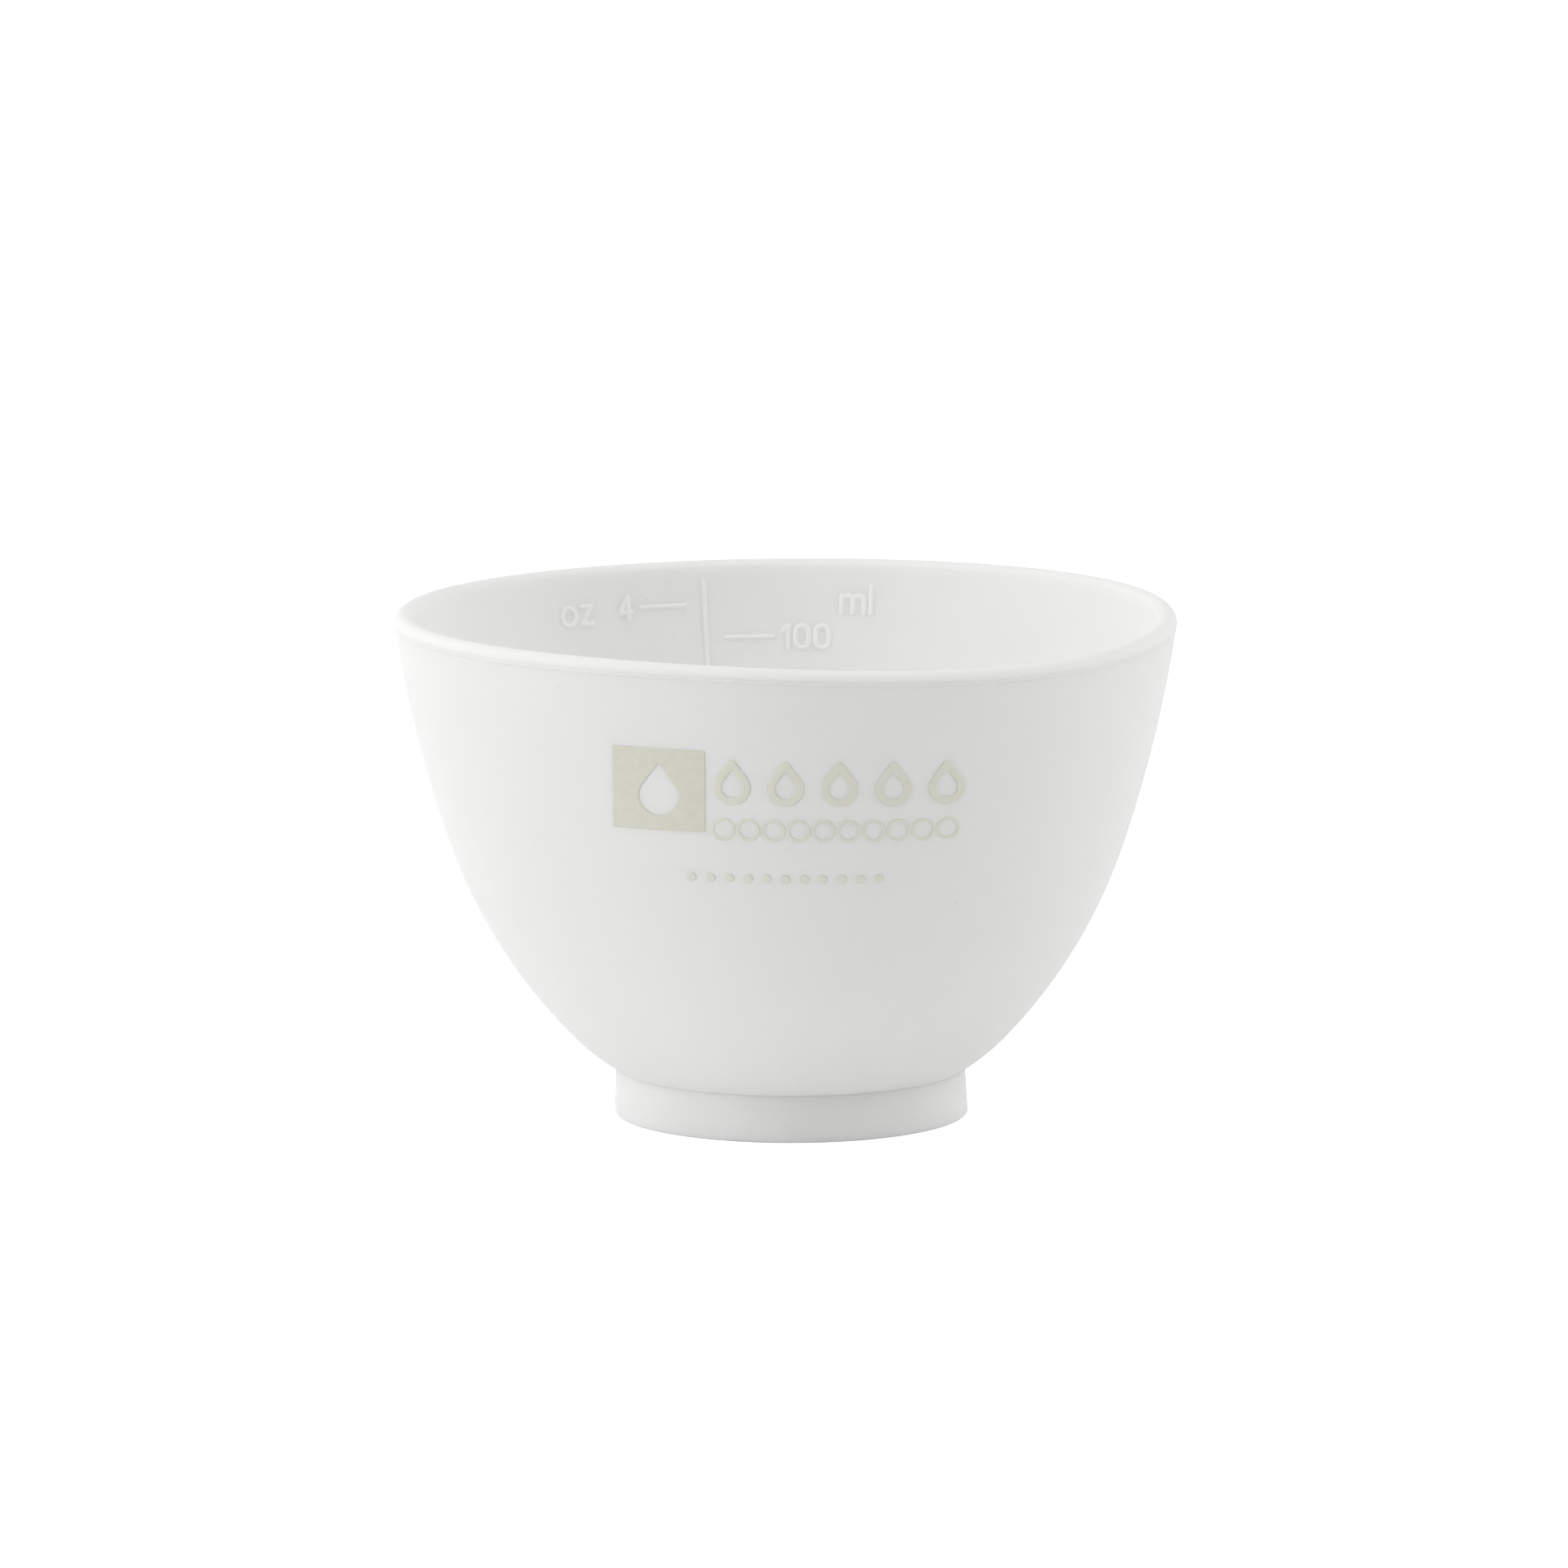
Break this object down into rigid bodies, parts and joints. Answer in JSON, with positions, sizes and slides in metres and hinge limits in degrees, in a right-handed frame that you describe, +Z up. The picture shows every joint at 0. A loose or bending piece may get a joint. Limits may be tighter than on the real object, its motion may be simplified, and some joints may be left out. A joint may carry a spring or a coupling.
{
  "type": "hair colour mixing bowl",
  "caption": "Small round flexible bowl with a full-round lip, a foot ring, a raised measuring scale inside and a thin printed decoration outside.",
  "frame": {"origin": "centre of the foot ring's resting face, at the bottom of the bounding box", "axes": "+Z up along the bowl's axis; -Y is the printed front; the raised scale is on the inner wall at the back, near +Y"},
  "size_m": [0.078, 0.078, 0.0502],
  "materials": {
    "bowl_silicone": "satin moulded silicone, warm white",
    "foot_silicone": "matt silicone, coarsely etched mould texture",
    "ink": "thin matt screen-printed ink, pale khaki"
  },
  "bodies": {
    "root": {"bowl_shell": "bowl_silicone", "foot_ring": "foot_silicone", "ml_mark_100": "bowl_silicone", "ml_mark_25": "bowl_silicone", "ml_mark_50": "bowl_silicone", "ml_mark_75": "bowl_silicone", "ml_name": "bowl_silicone", "oz_mark_1": "bowl_silicone", "oz_mark_2": "bowl_silicone", "oz_mark_3": "bowl_silicone", "oz_mark_4": "bowl_silicone", "oz_name": "bowl_silicone", "printed_block": "ink", "printed_dots": "ink", "printed_drops": "ink", "printed_rings": "ink", "rim_parting_line": "bowl_silicone", "scale_divider": "bowl_silicone"}
  },
  "joints": []
}
